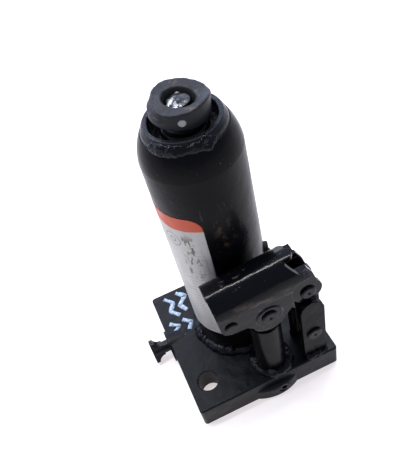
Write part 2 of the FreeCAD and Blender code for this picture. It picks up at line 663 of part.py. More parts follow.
save("base_plate", make_base_plate())
save("tank_foot_weld", tank_weld)
save("reservoir_tank", tank.cut(filler_rod(FILLER_R, 0, TANK_R + 9)))
save("oil_filler_plug", filler)
save("rating_label", make_label())
save("top_nut", nut)
save("neck_weld", make_neck_weld(solid_tank, nut))
save("ram_wiper_seal", tube(16.5, RAM_R + GAP, 202.1, 205.1))
save("pressure_cylinder", tube(CYL_R, CYL_BORE_R, CYL_SEAT_Z + GASKET_T, CYL_TOP_Z))
save("cylinder_gasket", tube(CYL_R, CYL_BORE_R + 0.4, CYL_SEAT_Z, CYL_SEAT_Z + GASKET_T))

save("ram", make_ram())
save("piston_cup_seal", tube(PISTON_R, 12.5, 24.1, 29.4))
save("piston_guide_ring", tube(PISTON_R, 13.2, 34.1, 36.9))
save("screw_stop_ring", tube(11.1, 9.36, 124.3, 126.3))
save("extension_screw", make_screw())
save("saddle", tilt_saddle(make_saddle()))
save("saddle_pin", make_saddle_pin())

pump_cylinder = tube(PUMP_R, PLUNGER_R + GAP, PUMP_BOTTOM_Z, PUMP_TOP_Z, PUMP_X, PUMP_Y)
pump_cylinder = pump_cylinder.cut(rod(8.4, 62.0, PUMP_TOP_Z + 1, PUMP_X, PUMP_Y))
save("pump_cylinder", pump_cylinder)
save("pump_foot_weld", weld_ring(PUMP_R, 5.6, 5.2, PUMP_X, PUMP_Y).cut(tank_weld).cut(solid_tank))
save("pump_packing", tube(8.35, PLUNGER_R + GAP, 62.0, 68.5, PUMP_X, PUMP_Y))
save("pump_wiper_ring", tube(8.35, PLUNGER_R + GAP, 68.5, 73.4, PUMP_X, PUMP_Y))
save("pump_plunger", make_plunger())
save("handle_socket", make_socket())
save("pump_pin", make_pump_pin())
save("upper_link_pin", make_upper_pin())
save("handle_rest_rivet", make_rest_rivet())

front_lug = make_lug()
front_link = make_link()
save("front_lug", front_lug)
save("rear_lug", mirrored(front_lug))
save("lug_welds", make_lug_welds())
save("lower_link_pin", make_lower_pin())
save("front_link", front_link)
save("rear_link", mirrored(front_link))
save("link_rivet", make_link_rivet())
save("link_bushes", make_link_bushes())

save("release_valve", make_valve_stem())
save("valve_o_ring", ring_x(VALVE_BORE_R - 0.02, 3.75, -49.9, -47.5))
save("valve_ball", Part.makeSphere(3.6, V(-21.9, VALVE_Y, VALVE_Z)))

# check valves and overload valve inside the base
delivery_ball_z = DELIVERY_SEAT_Z + math.sqrt(DELIVERY_BALL_R ** 2 - DELIVERY_SEAT_R ** 2)
save("delivery_ball", Part.makeSphere(DELIVERY_BALL_R, V(PUMP_X, DELIVERY_Y, delivery_ball_z)))
save("delivery_retainer", tube(DELIVERY_CHAMBER_R - SEAT, 1.6, 15.1, 16.0, PUMP_X, DELIVERY_Y))
suction_plug = rod(CHECK_R - SEAT, 0.6, 3.6, PUMP_X, SUCTION_Y)
suction_plug = suction_plug.cut(rod(1.6, 0, 1.8, PUMP_X, SUCTION_Y))
save("suction_plug", suction_plug)
save("suction_ball", Part.makeSphere(CHECK_BALL_R, V(PUMP_X, SUCTION_Y, 3.6 + CHECK_BALL_R)))
boss_face = BASE_FRONT - FRONT_BOSS_DEPTH
gallery_plug = rod_y(PLUG_R - SEAT, boss_face + 0.6, boss_face + PLUG_LENGTH, PUMP_X, GALLERY_Z)
gallery_plug = gallery_plug.cut(rod_y(2.2, boss_face, boss_face + 4.0, PUMP_X, GALLERY_Z))
save("gallery_plug", gallery_plug)

relief_ball_x = RELIEF_SEAT_X + math.sqrt(CHECK_BALL_R ** 2 - RELIEF_SEAT_R ** 2)
save("overload_ball", Part.makeSphere(CHECK_BALL_R, V(relief_ball_x, RELIEF_Y, RELIEF_Z)))
spring = coil_spring(3.2, 0.55, relief_ball_x + 3.0, 42.0, 6)
spring.rotate(V(0, 0, 0), Y_AXIS, 90)
spring.translate(V(0, RELIEF_Y, RELIEF_Z))
save("overload_spring", spring)
overload_screw = rod_x(CHECK_R - SEAT, 42.8, 52.6, RELIEF_Y, RELIEF_Z)
driver_slot = block(50.8, 53.0, RELIEF_Y - 5, RELIEF_Y + 5, RELIEF_Z - 0.6, RELIEF_Z + 0.6)
save("overload_screw", overload_screw.cut(driver_slot))
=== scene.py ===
import json
import math

import bpy
from mathutils import Matrix, Vector, noise


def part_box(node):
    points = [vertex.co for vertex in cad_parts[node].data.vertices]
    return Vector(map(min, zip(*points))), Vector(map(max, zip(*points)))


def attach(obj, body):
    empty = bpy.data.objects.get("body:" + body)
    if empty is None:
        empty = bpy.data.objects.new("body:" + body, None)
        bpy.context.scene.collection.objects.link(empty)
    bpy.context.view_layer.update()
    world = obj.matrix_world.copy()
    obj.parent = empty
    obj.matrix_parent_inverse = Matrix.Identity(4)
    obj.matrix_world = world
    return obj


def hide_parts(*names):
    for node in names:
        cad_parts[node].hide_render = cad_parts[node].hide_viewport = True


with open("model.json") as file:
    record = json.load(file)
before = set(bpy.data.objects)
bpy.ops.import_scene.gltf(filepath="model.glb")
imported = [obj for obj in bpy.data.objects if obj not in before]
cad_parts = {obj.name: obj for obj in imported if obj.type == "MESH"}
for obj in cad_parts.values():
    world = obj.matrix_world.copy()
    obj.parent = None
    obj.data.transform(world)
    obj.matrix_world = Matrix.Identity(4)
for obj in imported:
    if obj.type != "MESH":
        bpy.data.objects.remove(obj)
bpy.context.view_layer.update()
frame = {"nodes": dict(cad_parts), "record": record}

# Hydraulic bottle jack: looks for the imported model.  Metres, +Z up, origin under the ram.

MM = 0.001
NODES = frame["nodes"]
RECORD = frame["record"]
SLOT_OF = {part["node"]: part["material_slot"] for part in RECORD["subparts"]}

# The camera looks down on the front of the jack from close by
CAMERA_AZIMUTH = -10.13
CAMERA_ELEVATION = 48.27
CAMERA_ROLL = -16.54
CAMERA_DISTANCE = 0.3259
CAMERA_TARGET = Vector((-0.01096, -0.02392, 0.14883))
LENS_MM = 42.25
SENSOR_MM = 36.0
CAMERA_SHIFT = (-0.0011, 0.0010)

# Brightness of the studio in front of the object and behind it
SKY_FRONT = 0.55
SKY_BEHIND = 2.2
SKY_COLOUR = (0.66, 0.74, 1.0)
# The sky brightens between these two values of its direction's Y
SKY_TURN = (-0.2, 0.75)
# The floor is a light table, so that the background stays white and shadows stay faint
FLOOR_GREY = (0.55, 0.55, 0.55)
FLOOR_GLOW = 0.62
FLOOR_GLOW_COLOUR = (1.0, 0.93, 0.90)
FLOOR_HALF = 6.0
VIEW_GAMMA = 0.92
# One long tube overhead, and three small lamps behind the object: place, size, watts
TUBE = ((0.0, 0.20, 1.25), (1.6, 0.07), 13)
TUBE_COLOUR = (1.0, 0.98, 0.95)
LAMPS = {
    "far_lamp": ((-0.55, 0.75, 1.15), (0.16, 0.10), 1.8),
    "near_lamp": ((-0.10, 0.95, 1.00), (0.10, 0.16), 1.8),
    "side_lamp": ((0.50, 0.60, 1.20), (0.12, 0.12), 1.8),
}
LAMP_COLOUR = (0.95, 0.97, 1.0)
LIGHTS_AIM = Vector((0, 0, 0.1))

# Places taken from the frame
TANK_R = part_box("reservoir_tank")[1].y
BASE_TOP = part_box("reservoir_tank")[0].z
NECK_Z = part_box("reservoir_tank")[1].z
NUT_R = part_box("top_nut")[1].x
LABEL_LOW, LABEL_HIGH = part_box("rating_label")
PUMP_LOW, PUMP_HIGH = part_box("pump_cylinder")
PUMP_X = (PUMP_LOW.x + PUMP_HIGH.x) / 2
PUMP_Y = (PUMP_LOW.y + PUMP_HIGH.y) / 2
PUMP_R = (PUMP_HIGH.x - PUMP_LOW.x) / 2
LUG_LOW, LUG_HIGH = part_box("front_lug")
SCREW_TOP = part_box("extension_screw")[1].z
SADDLE_PIN_LOW, SADDLE_PIN_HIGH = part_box("saddle_pin")
SADDLE_PIN_Z = (SADDLE_PIN_LOW.z + SADDLE_PIN_HIGH.z) / 2
RAM_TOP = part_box("ram")[1].z

# The saddle, as turned before it wore, and the angle that it rests at
SADDLE_R = 16.7 * MM
SADDLE_WELL_R = 7.5 * MM
SADDLE_CUP_R = 10.0 * MM
SADDLE_CUP_DEPTH = 0.75 * MM
SADDLE_BOTTOM_Z = SADDLE_PIN_Z - 5.0 * MM
SADDLE_TOP_Z = SADDLE_PIN_Z + 5.4 * MM
SADDLE_TILT = 8.9
SADDLE_PIN_ANGLE = math.radians(-105)
SADDLE_PIN_R = 2.2 * MM
SADDLE_PIN_PROUD = 0.25 * MM
SADDLE_PIN_CHAMFER = 0.3 * MM
# Azimuth, width and height of each swelling or dip of the rim: degrees, degrees, millimetres
SADDLE_WAVES = [(-48, 34, 2.7), (-145, 30, -1.7), (168, 34, -1.8), (75, 40, -0.2)]
# Where the rim is beaten in, how wide that is and how deep
BEATEN_AZIMUTH = 168
BEATEN_WIDTH = 40
BEATEN_DEPTH = 2.1 * MM

# The rolled handle socket leans by this slope, and bends into its flanges at this height by the pump pin
SOCKET_SLOPE = 0.071
SOCKET_BEND_Z = 115.8 * MM

# The label runs clockwise from its right edge
LABEL_EDGE = math.radians(-112.5)
LABEL_MIDDLE = math.radians(-187.5)
LABEL_CORNER = 9.0 * MM
# What is printed on it, by height and by place along the wall from the label's middle
HEADING_FOOT = (157.8 * MM, 158.2 * MM)
BAR_PITCH = 3.4 * MM
BAR = (1.1 * MM, 2.0 * MM)
BARS_ALONG = (2 * MM, 35.5 * MM)
BARS_HEIGHT = (47 * MM, 112 * MM)
RINGS_ALONG = 16.7 * MM
RINGS_HEIGHT = 147.0 * MM
OUTER_RING = (5.2 * MM, 5.9 * MM)
INNER_RING = (1.5 * MM, 2.4 * MM)
BOX_ALONG = (24 * MM, 36 * MM)
BOX_HEIGHT = (117 * MM, 136 * MM)
BOX_LINE = 0.5 * MM
# Where it is smeared, and the stretch of height over which it gets darker towards the bottom
SMEAR_ALONG = (22 * MM, 34 * MM)
SMEAR_HEIGHT = (112 * MM, 152 * MM)
DARKER_DOWNWARDS = (100 * MM, 50 * MM)

# Welds: how far their hidden root reaches into the parts, and how far the foot sinks into the base
WELD_ROOT = 1.0 * MM
WELD_SINK = 0.5 * MM
# The neck weld's run in degrees, its thick stretch and the blob that it ends in
NECK_WELD_START = -163
NECK_WELD_SWEEP = 98
NECK_WELD_THICK = -137
NECK_WELD_BLOB = -81
NECK_WELD_HALF = 1.9 * MM

# Marker strokes on the base, seen from above: generic zigzags, in millimetres
MARKER_WIDTH = 3.4
MARKER_STROKES = {
    "marker_stroke_a": [(-47, 45), (-41, 38), (-46, 31), (-40, 24)],
    "marker_stroke_b": [(-36, 46), (-30, 40), (-37, 33), (-33, 26)],
    "marker_stroke_c": [(-51, 20), (-44, 15), (-50, 11), (-42, 6)],
    "marker_stroke_d": [(-40, 19), (-34, 14), (-38, 8)],
}


# ---------------------------------------------------------------- shader building

class Shader:
    """A material's node tree, with short calls for the nodes used here."""

    def __init__(self, name):
        self.material = bpy.data.materials.new(name)
        self.material.use_nodes = True
        self.tree = self.material.node_tree
        self.tree.nodes.clear()
        self.surface = self.tree.nodes.new("ShaderNodeBsdfPrincipled")
        output = self.tree.nodes.new("ShaderNodeOutputMaterial")
        self.tree.links.new(self.surface.outputs["BSDF"], output.inputs["Surface"])
        self.coords = self.tree.nodes.new("ShaderNodeTexCoord").outputs["Object"]

    def put(self, socket, value):
        """Link a socket to this one, or set a constant on it."""
        if isinstance(value, bpy.types.NodeSocket):
            self.tree.links.new(value, socket)
        elif isinstance(value, (tuple, list)) and len(value) == 3 and len(socket.default_value) == 4:
            socket.default_value = (*value, 1.0)
        else:
            socket.default_value = value

    def set(self, **values):
        """Set inputs of the surface, with _ for the blanks in their names."""
        for name, value in values.items():
            self.put(self.surface.inputs[name.replace("_", " ")], value)

    def math(self, operation, first, second=0.0):
        node = self.tree.nodes.new("ShaderNodeMath")
        node.operation = operation
        self.put(node.inputs[0], first)
        self.put(node.inputs[1], second)
        return node.outputs[0]

    def noise(self, scale, detail=3.0, roughness=0.5, stretch=(1, 1, 1), shift=(0, 0, 0), distort=0.0):
        mapping = self.tree.nodes.new("ShaderNodeMapping")
        mapping.inputs["Location"].default_value = shift
        mapping.inputs["Scale"].default_value = stretch
        self.put(mapping.inputs["Vector"], self.coords)
        node = self.tree.nodes.new("ShaderNodeTexNoise")
        node.inputs["Scale"].default_value = scale
        node.inputs["Detail"].default_value = detail
        node.inputs["Roughness"].default_value = roughness
        node.inputs["Distortion"].default_value = distort
        self.put(node.inputs["Vector"], mapping.outputs[0])
        return node.outputs["Fac"]

    def ramp(self, value, low, high, dark=0.0, light=1.0):
        """Dark up to low, light from high on, straight between them."""
        node = self.tree.nodes.new("ShaderNodeMapRange")
        node.clamp = True
        node.inputs["From Min"].default_value = low
        node.inputs["From Max"].default_value = high
        node.inputs["To Min"].default_value = dark
        node.inputs["To Max"].default_value = light
        self.put(node.inputs["Value"], value)
        return node.outputs[0]

    def mix(self, factor, first, second):
        node = self.tree.nodes.new("ShaderNodeMix")
        node.data_type = "RGBA"
        self.put(node.inputs["Factor"], factor)
        self.put(node.inputs[6], first)
        self.put(node.inputs[7], second)
        return node.outputs[2]

    def upward(self):
        """1 on faces that look up, 0 on the rest."""
        geometry = self.tree.nodes.new("ShaderNodeNewGeometry")
        split = self.tree.nodes.new("ShaderNodeSeparateXYZ")
        self.put(split.inputs[0], geometry.outputs["Normal"])
        return self.ramp(split.outputs["Z"], 0.3, 0.95)

    def edge(self, radius):
        """Near 1 along sharp outside edges, 0 on open faces."""
        geometry = self.tree.nodes.new("ShaderNodeNewGeometry")
        bevel = self.tree.nodes.new("ShaderNodeBevel")
        bevel.samples = 4
        bevel.inputs["Radius"].default_value = radius
        dot = self.tree.nodes.new("ShaderNodeVectorMath")
        dot.operation = "DOT_PRODUCT"
        self.put(dot.inputs[0], bevel.outputs[0])
        self.put(dot.inputs[1], geometry.outputs["True Normal"])
        return self.ramp(dot.outputs["Value"], 0.995, 0.86)

    def rounded(self, radius):
        """Normals as if every sharp edge had this radius."""
        bevel = self.tree.nodes.new("ShaderNodeBevel")
        bevel.samples = 6
        bevel.inputs["Radius"].default_value = radius
        return bevel.outputs[0]

    def position(self):
        split = self.tree.nodes.new("ShaderNodeSeparateXYZ")
        self.put(split.inputs[0], self.coords)
        return split.outputs["X"], split.outputs["Y"], split.outputs["Z"]

    def azimuth(self, middle):
        """Angle round the tank in radians, 0 at the middle given."""
        turn = self.tree.nodes.new("ShaderNodeVectorRotate")
        turn.rotation_type = "Z_AXIS"
        turn.inputs["Angle"].default_value = -middle
        self.put(turn.inputs["Vector"], self.coords)
        split = self.tree.nodes.new("ShaderNodeSeparateXYZ")
        self.put(split.inputs[0], turn.outputs[0])
        return self.math("ARCTAN2", split.outputs["Y"], split.outputs["X"])

    def inside(self, value, low, high, soft):
        """1 where the value lies between low and high."""
        rising = self.ramp(value, low - soft, low + soft)
        falling = self.ramp(value, high - soft, high + soft, 1.0, 0.0)
        return self.math("MULTIPLY", rising, falling)

    def window(self, along, height, along_span, height_span, soft):
        """1 where both values lie in their spans."""
        across = self.inside(along, *along_span, soft)
        up = self.inside(height, *height_span, soft)
        return self.math("MULTIPLY", across, up)

    def patch(self, angle, height, angles, heights, soft=0.06):
        """1 in a window of the tank's wall, given in degrees and millimetres."""
        across = self.inside(angle, math.radians(angles[0]), math.radians(angles[1]), soft)
        up = self.inside(height, heights[0] * MM, heights[1] * MM, soft * TANK_R)
        return self.math("MULTIPLY", across, up)

    def bump(self, height, distance, normal=None):
        node = self.tree.nodes.new("ShaderNodeBump")
        node.inputs["Strength"].default_value = 1.0
        node.inputs["Distance"].default_value = distance
        self.put(node.inputs["Height"], height)
        if normal is not None:
            self.put(node.inputs["Normal"], normal)
        return node.outputs[0]


def black_paint(name, colour, rough, wave=0.12 * MM, chips=0.5, dust=0.5, brown=(0.055, 0.036, 0.024),
                round_r=0.7 * MM, gloss=0.25, extra=None):
    """Black enamel on steel: slow waves, orange peel, edges worn to brown, dust on what faces up."""
    s = Shader(name)
    slow = s.noise(75, 3)
    peel = s.noise(850, 2)
    grime = s.noise(38, 6, 0.62, shift=(3, 1, 7))
    edge = s.edge(0.9 * MM)
    chip_noise = s.noise(420, 5, 0.7, shift=(9, 4, 2))
    rub_noise = s.noise(60, 4, 0.6, shift=(1, 8, 3))
    worn = s.math("MULTIPLY", edge, s.ramp(chip_noise, 0.66 - 0.16 * chips, 0.76))
    worn = s.math("MULTIPLY", worn, s.ramp(rub_noise, 0.40, 0.62))
    dusty = s.math("MULTIPLY", s.upward(), s.ramp(grime, 0.35, 0.75, 0.0, dust))
    tinted = s.mix(dusty, colour, tuple(c * 1.8 + 0.006 for c in colour))
    body = s.mix(worn, tinted, brown)
    if extra is not None:
        body = extra(s, body)
    s.set(Base_Color=body)
    s.set(Roughness=s.ramp(grime, 0.3, 0.75, rough * 0.8, rough * 1.35))
    first = s.bump(slow, wave * 6, normal=s.rounded(round_r))
    s.set(Normal=s.bump(peel, wave * 0.35, normal=first))
    s.set(Specular_IOR_Level=gloss)
    return s.material


def tank_marks(s, body):
    """Scratches, a brown scuff and grime on the tank's bare front."""
    height = s.position()[2]
    angle = s.azimuth(math.radians(-90))
    fine = s.noise(700, 3, 0.6, stretch=(1, 1, 0.12), shift=(5, 2, 1), distort=0.4)
    scratch = s.ramp(fine, 0.635, 0.66)
    scratch = s.math("MULTIPLY", scratch, s.patch(angle, height, (-20, 14), (160, 176)))
    blot = s.ramp(s.noise(210, 5, 0.65, shift=(2, 6, 4)), 0.50, 0.60)
    blot = s.math("MULTIPLY", blot, s.patch(angle, height, (-8, 9), (141, 163), 0.10))
    specks = s.ramp(s.noise(520, 2, 0.5, shift=(7, 7, 1)), 0.735, 0.76)
    specks = s.math("MULTIPLY", specks, s.patch(angle, height, (-60, 60), (150, 214)))
    haze = s.ramp(s.noise(55, 5, 0.6, shift=(4, 4, 4)), 0.42, 0.70)
    haze = s.math("MULTIPLY", haze, s.ramp(height, 150 * MM, 112 * MM, 0.15, 1.0))
    body = s.mix(haze, body, (0.012, 0.012, 0.015))
    body = s.mix(s.math("MULTIPLY", scratch, 0.7), body, (0.10, 0.075, 0.055))
    body = s.mix(s.math("MULTIPLY", blot, 0.75), body, (0.075, 0.048, 0.030))
    return s.mix(s.math("MULTIPLY", specks, 0.5), body, (0.16, 0.14, 0.12))


def socket_marks(s, body):
    """Rubbed, brownish patches along the rolled sheet."""
    east, _, height = s.position()
    level = s.math("ADD", height, s.math("MULTIPLY", s.math("SUBTRACT", east, PUMP_X), SOCKET_SLOPE))
    rub = s.ramp(s.noise(150, 4, 0.6, stretch=(0.40, 1, 1), shift=(4, 2, 8)), 0.50, 0.60)
    band = s.inside(level, SOCKET_BEND_Z - 3.5 * MM, SOCKET_BEND_Z + 2.5 * MM, 1.5 * MM)
    body = s.mix(s.math("MULTIPLY", s.math("MULTIPLY", rub, band), 0.8), body, (0.085, 0.055, 0.042))
    spots = s.ramp(s.noise(260, 3, 0.6, stretch=(0.5, 1, 1), shift=(1, 5, 2)), 0.66, 0.70)
    return s.mix(s.math("MULTIPLY", spots, 0.5), body, (0.12, 0.09, 0.08))


def saddle_marks(s, body):
    """Yellow-brown wear spots on the top, and a paler rim that is partly wear and partly a painted edge
    highlight.
    """
    spots = s.ramp(s.noise(150, 4, 0.6, shift=(1.2, 0.4, 3)), 0.60, 0.70)
    spots = s.math("MULTIPLY", spots, s.upward())
    # Paler rim along the sharp edges: partly wear, partly a painted edge highlight.
    rim = s.ramp(s.noise(500, 3, 0.6), 0.45, 0.65)
    rim = s.math("MULTIPLY", s.edge(1.6 * MM), rim)
    body = s.mix(s.math("MULTIPLY", rim, 0.6), body, (0.11, 0.10, 0.10))
    return s.mix(s.math("MULTIPLY", spots, 0.8), body, (0.12, 0.085, 0.05))


def bare_steel(name, colour, rough, dark_from=None, dark_to=None):
    """Machined steel with fine turning marks and an oily film, painted black as shade between two heights."""
    s = Shader(name)
    rings = s.noise(60, 2, stretch=(1, 1, 90))
    film = s.noise(90, 5, 0.6)
    body = s.mix(s.ramp(film, 0.45, 0.75), colour, tuple(c * 0.55 for c in colour))
    metallic = 1.0
    if dark_from is not None:
        # Painted shade: black between the two heights, where the part sits in the recess under the saddle.
        painted_recess_shade = s.inside(s.position()[2], dark_from, dark_to, 0.4 * MM)
        body = s.mix(painted_recess_shade, body, (0.004, 0.004, 0.004))
        metallic = s.math("SUBTRACT", 1.0, painted_recess_shade)
    s.set(Base_Color=body)
    s.set(Roughness=s.ramp(film, 0.3, 0.7, rough * 0.8, rough * 1.5))
    s.set(Normal=s.bump(rings, 0.02 * MM, normal=s.rounded(0.4 * MM)))
    s.set(Metallic=metallic)
    s.set(Specular_IOR_Level=0.2)
    return s.material


def screw_steel(name):
    """Turned steel, painted black as shade under the saddle, with bare patches on the left of its domed end
    that are painted glints, partly rubbed wear.
    """
    s = Shader(name)
    east, _, height = s.position()
    film = s.noise(90, 5, 0.6)
    # Painted shade: black from the ram's top to the screw's end, in the recess under the saddle.
    painted_recess_shade = s.inside(height, RAM_TOP - 2 * MM, SCREW_TOP + 2 * MM, 0.4 * MM)
    # Bare steel in patches on the left of the domed end, where glints show: painted highlight, partly rubbed
    # wear.
    rubbed_and_glint = s.ramp(s.noise(330, 2, 0.5, shift=(2.4, 1.1, 0.3)), 0.46, 0.54)
    rubbed_and_glint = s.math("MULTIPLY", rubbed_and_glint, s.ramp(east, 0.5 * MM, -1.5 * MM, 0.12, 1.0))
    rubbed_and_glint = s.math("MULTIPLY", rubbed_and_glint, s.ramp(height, SCREW_TOP - 1.6 * MM, SCREW_TOP - 1.2 * MM))
    painted_recess_shade = s.math("MULTIPLY", painted_recess_shade, s.math("SUBTRACT", 1.0, rubbed_and_glint))
    steel = s.mix(s.ramp(film, 0.45, 0.75), (0.42, 0.42, 0.41), (0.24, 0.24, 0.23))
    s.set(Base_Color=s.mix(painted_recess_shade, steel, (0.012, 0.012, 0.013)))
    s.set(Metallic=s.ramp(painted_recess_shade, 0.0, 1.0, 1.0, 0.3))
    s.set(Roughness=s.ramp(film, 0.3, 0.7, 0.16, 0.34))
    rings = s.noise(60, 2, stretch=(1, 1, 90))
    s.set(Normal=s.bump(rings, 0.02 * MM, normal=s.rounded(0.4 * MM)))
    s.set(Specular_IOR_Level=0.4)
    return s.material


def rubber(name, colour):
    """Matt rubber with a fine grain."""
    s = Shader(name)
    grain = s.noise(700, 4)
    s.set(Base_Color=s.mix(s.noise(120, 4), colour, tuple(c * 1.7 + 0.004 for c in colour)))
    s.set(Roughness=s.ramp(grain, 0.3, 0.7, 0.45, 0.7))
    s.set(Normal=s.bump(grain, 0.04 * MM, normal=s.rounded(0.4 * MM)))
    s.set(Specular_IOR_Level=0.3)
    return s.material


def label_print(s, along, height):
    """How much ink lies at a place: rows of bars, two plain rings and an empty box."""
    row = s.math("MODULO", height, BAR_PITCH)
    bars = s.inside(row, *BAR, 0.15 * MM)
    dashes = s.ramp(s.noise(330, 1, 0.5, stretch=(1, 1, 0.02)), 0.42, 0.46)
    bars = s.math("MULTIPLY", bars, dashes)
    lines = s.math("MULTIPLY", bars, s.window(along, height, BARS_ALONG, BARS_HEIGHT, 0.3 * MM))
    dx = s.math("SUBTRACT", along, RINGS_ALONG)
    dz = s.math("SUBTRACT", height, RINGS_HEIGHT)
    away = s.math("SQRT", s.math("ADD", s.math("MULTIPLY", dx, dx), s.math("MULTIPLY", dz, dz)))
    rings = s.math("MAXIMUM", s.inside(away, *OUTER_RING, 0.2 * MM), s.inside(away, *INNER_RING, 0.2 * MM))
    box = s.window(along, height, BOX_ALONG, BOX_HEIGHT, 0.15 * MM)
    hollow_along = (BOX_ALONG[0] + BOX_LINE, BOX_ALONG[1] - BOX_LINE)
    hollow_height = (BOX_HEIGHT[0] + BOX_LINE, BOX_HEIGHT[1] - BOX_LINE)
    hollow = s.window(along, height, hollow_along, hollow_height, 0.15 * MM)
    outline = s.math("SUBTRACT", box, hollow)
    printed = s.math("MAXIMUM", s.math("MULTIPLY", lines, 0.55), s.math("MULTIPLY", rings, 0.8))
    return s.math("MAXIMUM", printed, s.math("MULTIPLY", outline, 0.45))


def label_film(name):
    """White film with an orange heading, plain marks in place of writing, brown smears and dirt."""
    s = Shader(name)
    height = s.position()[2]
    along = s.math("MULTIPLY", s.azimuth(LABEL_MIDDLE), TANK_R)
    paper = s.mix(s.noise(60, 4), (0.54, 0.515, 0.455), (0.43, 0.41, 0.37))
    # The paper gets darker towards the bottom.
    paper = s.mix(s.ramp(height, *DARKER_DOWNWARDS, 0.0, 0.45), paper, (0.19, 0.185, 0.18))
    body = s.mix(label_print(s, along, height), paper, (0.16, 0.16, 0.17))
    wobble = s.ramp(s.noise(40, 2), 0.3, 0.7, -0.6 * MM, 0.6 * MM)
    heading = s.ramp(s.math("ADD", height, wobble), *HEADING_FOOT)
    body = s.mix(heading, body, (0.52, 0.085, 0.035))
    smear = s.ramp(s.noise(260, 5, 0.65, stretch=(1, 1, 0.45), shift=(2, 9, 5)), 0.53, 0.58)
    smear = s.math("MULTIPLY", smear, s.inside(along, *SMEAR_ALONG, 2 * MM))
    smear = s.math("MULTIPLY", smear, s.inside(height, *SMEAR_HEIGHT, 5 * MM))
    body = s.mix(s.math("MULTIPLY", smear, 0.85), body, (0.055, 0.035, 0.022))
    dirt = s.ramp(s.noise(90, 6, 0.7, shift=(3, 3, 0)), 0.52, 0.75, 0.0, 0.45)
    body = s.mix(dirt, body, (0.16, 0.14, 0.12))
    s.set(Base_Color=body)
    s.set(Roughness=s.ramp(s.noise(200, 3), 0.3, 0.7, 0.32, 0.5))
    s.set(Normal=s.bump(s.noise(160, 3), 0.08 * MM))
    s.set(Specular_IOR_Level=0.3)
    return s.material


def weld_paint(name):
    """Thick glossy enamel over a lumpy bead."""
    s = Shader(name)
    lumpy = s.noise(620, 3, 0.55)
    s.set(Base_Color=s.mix(s.noise(90, 3), (0.0012, 0.0013, 0.0022), (0.0026, 0.0028, 0.0048)))
    s.set(Roughness=s.ramp(s.noise(300, 3), 0.3, 0.7, 0.07, 0.16))
    s.set(Normal=s.bump(lumpy, 0.6 * MM))
    s.set(Specular_IOR_Level=0.24)
    return s.material


def chalk_paint(name):
    """Pale blue marker paint, thin in places."""
    s = Shader(name)
    thin = s.ramp(s.noise(500, 4, 0.6), 0.40, 0.62)
    s.set(Base_Color=s.mix(thin, (0.22, 0.28, 0.36), (0.50, 0.60, 0.72)))
    s.set(Roughness=s.ramp(thin, 0.0, 1.0, 0.5, 0.75))
    s.set(Normal=s.bump(thin, 0.03 * MM))
    return s.material


MATERIALS = {
    "cast_base": black_paint("cast_base", (0.0038, 0.0042, 0.0054), 0.36, 0.14 * MM, 0.3,
                             round_r=1.2 * MM, gloss=0.185),
    "tank_paint": black_paint("tank_paint", (0.0019, 0.0018, 0.0019), 0.27, 0.06 * MM, 0.2, 0.2,
                              gloss=0.11, extra=tank_marks),
    "nut_paint": black_paint("nut_paint", (0.0028, 0.0030, 0.0046), 0.26, 0.16 * MM, 0.6, gloss=0.3),
    "weld_paint": weld_paint("weld_paint"),
    "pump_paint": black_paint("pump_paint", (0.0022, 0.0022, 0.0026), 0.24, 0.06 * MM, 0.2, gloss=0.10),
    "socket_paint": black_paint("socket_paint", (0.0020, 0.0022, 0.0030), 0.13, 0.07 * MM, 0.9, 0.2,
                                brown=(0.12, 0.075, 0.06), gloss=0.19, extra=socket_marks),
    "bracket_paint": black_paint("bracket_paint", (0.0022, 0.0022, 0.0026), 0.28, 0.12 * MM, gloss=0.09),
    "link_paint": black_paint("link_paint", (0.0025, 0.0025, 0.0030), 0.28, 0.10 * MM, gloss=0.12),
    "pin_paint": black_paint("pin_paint", (0.0022, 0.0022, 0.0028), 0.20, 0.08 * MM, gloss=0.2),
    "valve_paint": black_paint("valve_paint", (0.0030, 0.0034, 0.0044), 0.28, 0.08 * MM),
    "saddle_paint": black_paint("saddle_paint", (0.0130, 0.0132, 0.0145), 0.40, 0.12 * MM, 0.7, 0.5,
                                extra=saddle_marks),
    "turned_steel": screw_steel("turned_steel"),
    # The ram's top is painted black as shade, where it sits in the recess under the saddle.
    "hard_chrome": bare_steel("hard_chrome", (0.62, 0.63, 0.65), 0.12, RAM_TOP - 3 * MM, RAM_TOP + 1 * MM),
    "ball_steel": bare_steel("ball_steel", (0.66, 0.66, 0.68), 0.08),
    "zinc_screw": bare_steel("zinc_screw", (0.48, 0.45, 0.36), 0.35),
    "black_rubber": rubber("black_rubber", (0.006, 0.006, 0.006)),
    "red_packing": rubber("red_packing", (0.22, 0.035, 0.02)),
    "label_film": label_film("label_film"),
}

# Materials of single pieces, which are in no slot of their own
CHALK = chalk_paint("chalk_paint")
SADDLE_PIN_STEEL = bare_steel("saddle_pin_steel", (0.30, 0.30, 0.29), 0.5)


# ---------------------------------------------------------------- pieces

def solid_piece(name, vertices, faces, slot, nodes=(), body="jack_body", material=None):
    """Make a smooth piece that rides on a body and stands for the nodes given."""
    mesh = bpy.data.meshes.new(name)
    mesh.from_pydata(vertices, [], faces)
    mesh.shade_smooth()
    obj = bpy.data.objects.new(name, mesh)
    bpy.context.scene.collection.objects.link(obj)
    mesh.materials.append(material or MATERIALS[slot])
    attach(obj, body)
    if nodes:
        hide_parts(*nodes)
    return obj


